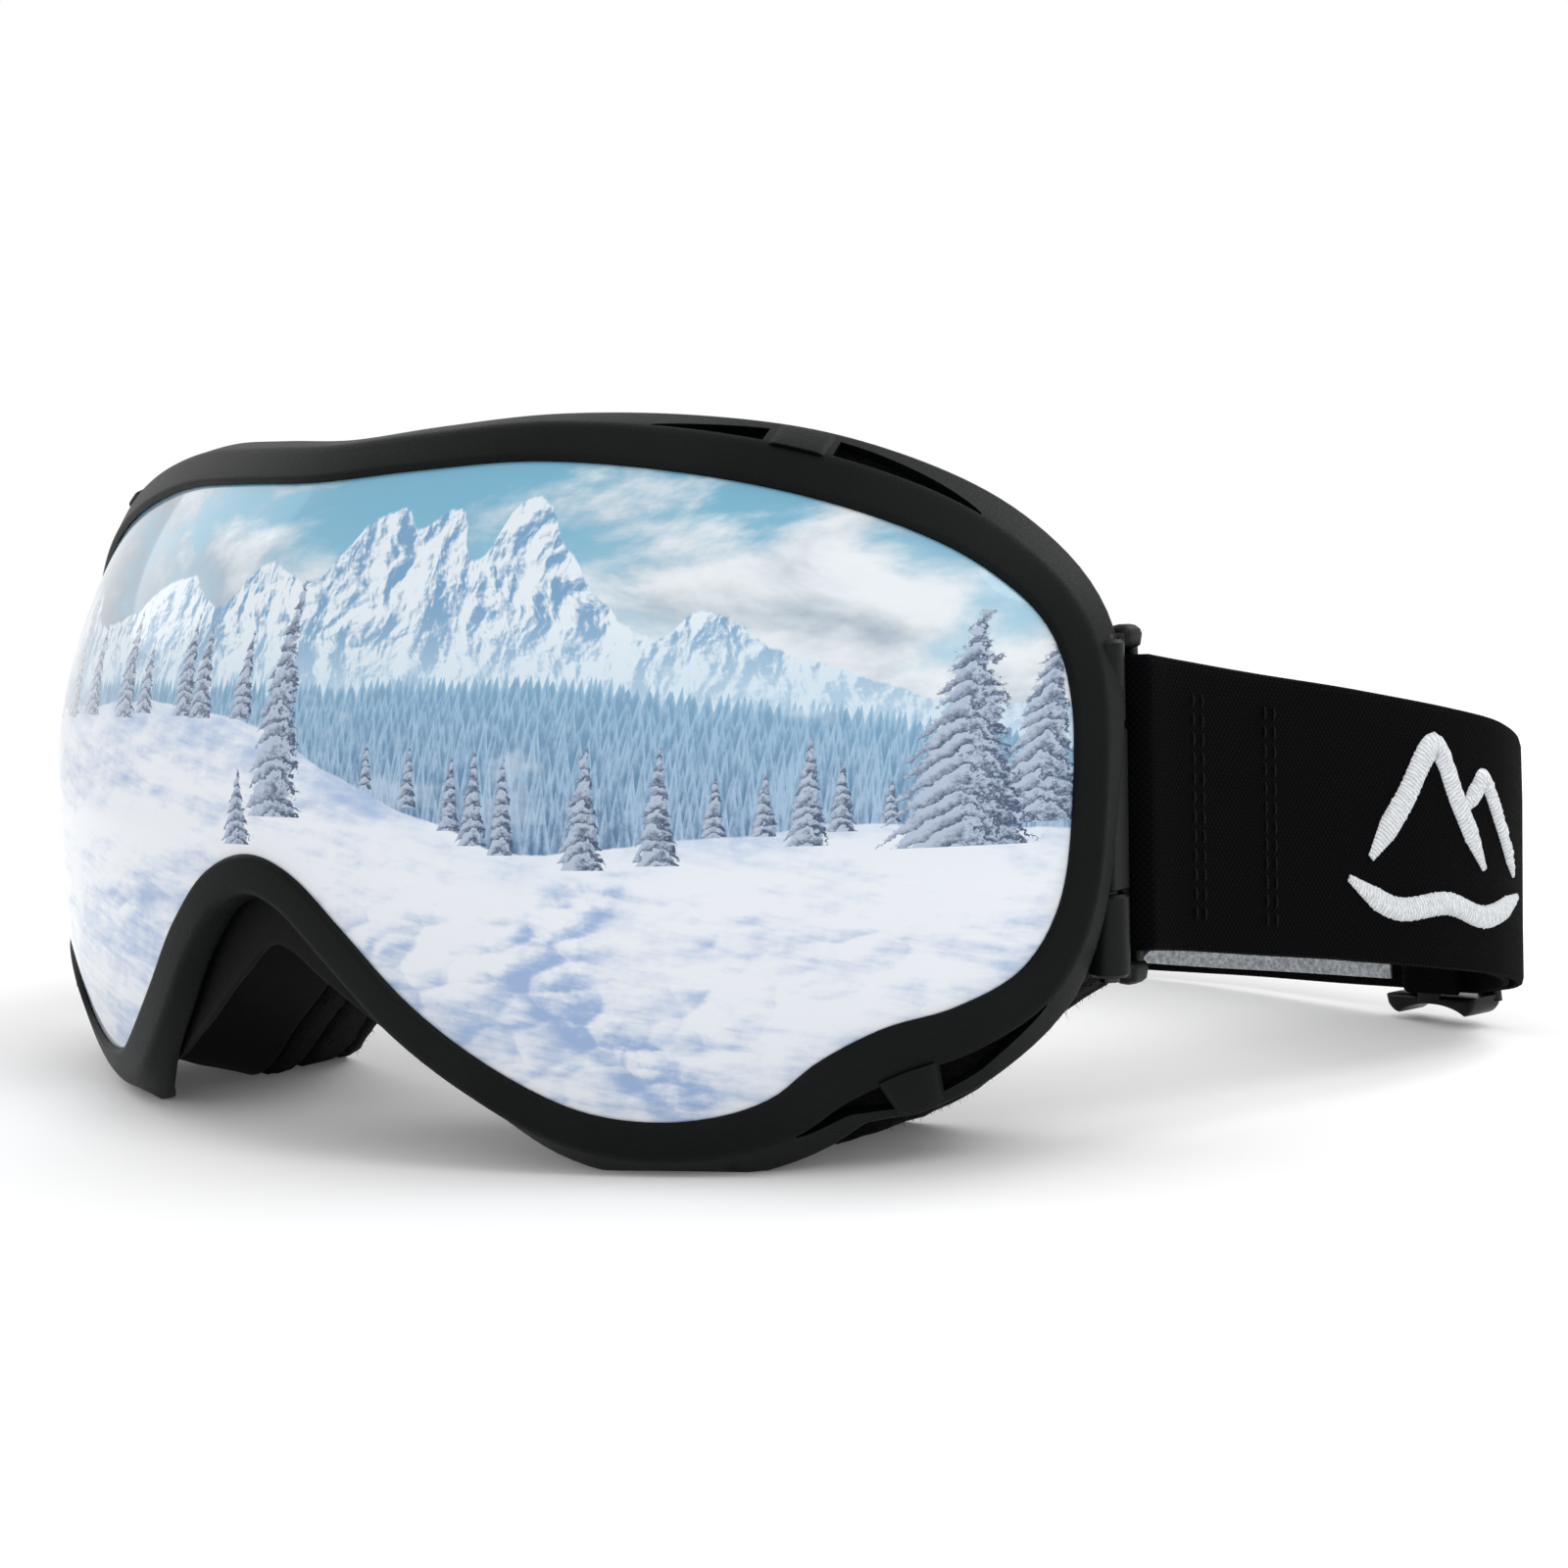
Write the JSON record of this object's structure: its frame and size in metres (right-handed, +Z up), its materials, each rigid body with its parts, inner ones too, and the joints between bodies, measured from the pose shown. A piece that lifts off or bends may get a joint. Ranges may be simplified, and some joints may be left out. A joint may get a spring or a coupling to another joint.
{
  "type": "ski goggles",
  "caption": "Framed ski goggles with a curved mirrored double lens, vented frame, face foam, hinged outriggers and an elastic strap loop with sliders.",
  "frame": {"origin": "middle of the bounding box, at its bottom, which is the plane the goggles rest on", "axes": "+X towards the wearer's left, -Y the way the wearer looks, +Z up"},
  "size_m": [0.2056, 0.159, 0.0841],
  "materials": {
    "lens_mirror": "mirror-coated polycarbonate, light blue, glossy",
    "lens_clear": "clear thin sheet",
    "spacer_foam": "closed-cell foam tape",
    "frame_charcoal": "flexible TPU, matte, fine grain",
    "chassis_black": "TPU, matte",
    "filter_foam": "open-cell filter foam",
    "face_foam": "soft open-cell foam",
    "fleece": "brushed fleece",
    "outrigger_plastic": "hard nylon, satin",
    "pin_steel": "drawn steel",
    "strap_webbing": "woven elastic",
    "grip_silicone": "printed silicone, grainy",
    "slider_plastic": "acetal, semi-gloss"
  },
  "bodies": {
    "frame": {"outer_lens": "lens_mirror", "inner_lens": "lens_clear", "lens_spacer": "spacer_foam", "front_frame": "frame_charcoal", "inner_frame": "chassis_black", "vent_filter_top_left": "filter_foam", "vent_filter_top_right": "filter_foam", "vent_filter_bottom_left": "filter_foam", "vent_filter_bottom_right": "filter_foam", "face_foam_base": "face_foam", "face_foam_comfort": "face_foam", "face_fleece": "fleece", "outrigger_pin_left": "pin_steel", "outrigger_pin_right": "pin_steel", "side_mount_left": "outrigger_plastic", "side_mount_right": "outrigger_plastic", "strap_end_left": "strap_webbing", "strap_end_right": "strap_webbing"},
    "outrigger_left": {"outrigger_left": "outrigger_plastic"},
    "outrigger_right": {"outrigger_right": "outrigger_plastic"},
    "strap": {"strap_webbing": "strap_webbing", "strap_tail_left": "strap_webbing", "strap_tail_right": "strap_webbing", "grip_band_upper": "grip_silicone", "grip_band_lower": "grip_silicone"},
    "slider_left": {"slider_left": "slider_plastic"},
    "slider_right": {"slider_right": "slider_plastic"}
  },
  "joints": [
    {"name": "outrigger_left_hinge", "type": "hinge", "parent": "frame", "child": "outrigger_left", "pos_m": [0.084, -0.0301, 0.0385], "axis": [0, 0, 1], "range_deg": [-7, 7]},
    {"name": "outrigger_right_hinge", "type": "hinge", "parent": "frame", "child": "outrigger_right", "pos_m": [-0.084, -0.0301, 0.0385], "axis": [0, 0, 1], "range_deg": [-7, 7]},
    {"name": "strap_swing", "type": "hinge", "parent": "frame", "child": "strap", "pos_m": [0, -0.022, 0.039], "axis": [1, 0, 0], "range_deg": [-6, 12]},
    {"name": "slider_left_slide", "type": "slide", "parent": "strap", "child": "slider_left", "axis": [-0.9556, 0.2879, -0.0632], "range_m": [0, 0.02]},
    {"name": "slider_right_slide", "type": "slide", "parent": "strap", "child": "slider_right", "axis": [0.9556, 0.2879, -0.0632], "range_m": [0, 0.02]}
  ]
}
